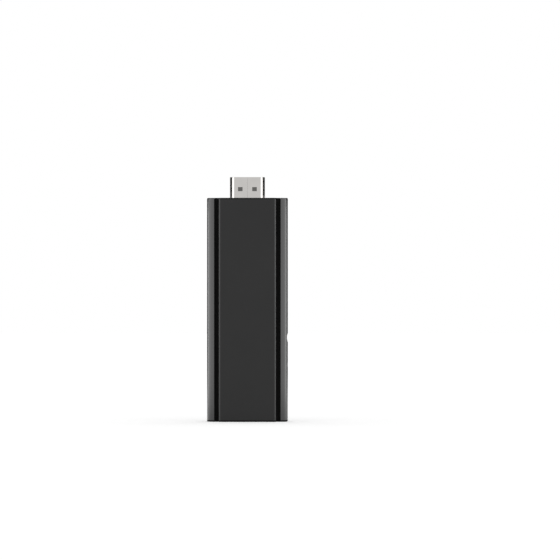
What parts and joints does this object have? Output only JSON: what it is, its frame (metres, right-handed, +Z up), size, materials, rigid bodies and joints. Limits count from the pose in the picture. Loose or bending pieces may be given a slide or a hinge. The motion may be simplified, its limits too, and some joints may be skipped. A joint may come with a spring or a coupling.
{
  "type": "streaming stick",
  "caption": "Slim stick-shaped media player with rounded side rails, a raised front panel between two grooves, an HDMI plug, a power inlet and a side push button.",
  "frame": {"origin": "centre of the rim of the tail end, which the stick stands on", "axes": "+Z up the stick from the tail end to the plug; the front panel faces -Y; the side button and the status light are on +X"},
  "size_m": [0.0322, 0.0124, 0.0973],
  "materials": {
    "housing_black": "fine moulded grain, satin black",
    "end_cap_black": "fine moulded grain, matt black",
    "button_black": "smooth satin black",
    "plug_steel": "nickel-plated sheet, lightly brushed",
    "connector_black": "moulded black",
    "contact_gold": "gold plated",
    "board_green": "green solder mask",
    "screw_steel": "zinc plated",
    "chip_black": "moulded epoxy",
    "shield_tin": "tin-plated sheet",
    "ferrite_grey": "pressed ferrite",
    "capacitor_ochre": "ceramic",
    "led_cream": "clear resin over a white body",
    "light_pipe_clear": "clear polycarbonate",
    "plunger_white": "moulded nylon",
    "heat_plate_aluminium": "rolled and stamped",
    "thermal_pad_blue": "soft silicone"
  },
  "bodies": {
    "housing": {"antenna": "shield_tin", "board_screws": "screw_steel", "bulk_capacitors": "capacitor_ochre", "chip_capacitors": "capacitor_ochre", "crystals": "shield_tin", "filter_chokes": "ferrite_grey", "flash_package": "chip_black", "front_cover": "housing_black", "front_heat_plate": "heat_plate_aluminium", "front_thermal_pad": "thermal_pad_blue", "inlet_contacts": "contact_gold", "inlet_shell": "plug_steel", "inlet_tongue": "connector_black", "light_pipe": "light_pipe_clear", "main_board": "board_green", "memory_packages": "chip_black", "plug_contacts_back": "contact_gold", "plug_contacts_front": "contact_gold", "plug_end_cap": "end_cap_black", "plug_insulator": "connector_black", "plug_shell": "plug_steel", "power_controller": "chip_black", "power_inductors": "ferrite_grey", "processor": "chip_black", "radio_board": "board_green", "radio_can": "shield_tin", "rear_heat_plate": "heat_plate_aluminium", "rear_shell": "housing_black", "rear_thermal_pad": "thermal_pad_blue", "shield_frame": "shield_tin", "shield_lid": "shield_tin", "status_led": "led_cream", "surge_arrays": "chip_black", "switch_cover": "shield_tin", "switch_housing": "connector_black", "switch_snap_leaf": "shield_tin", "tail_end_cap": "end_cap_black"},
    "button": {"side_button": "button_black"},
    "plunger": {"switch_plunger": "plunger_white"}
  },
  "joints": [
    {"name": "button_press", "type": "slide", "parent": "housing", "child": "button", "axis": [-1, 0, 0], "range_m": [0, 0.00035], "stiffness_N_per_m": 4500, "deforming": ["switch_snap_leaf"]},
    {"name": "plunger_press", "type": "slide", "parent": "housing", "child": "plunger", "axis": [-1, 0, 0], "range_m": [0, 0.00035]}
  ],
  "couplings": [
    {"joint": "plunger_press", "follows": "button_press", "ratio": 1}
  ]
}
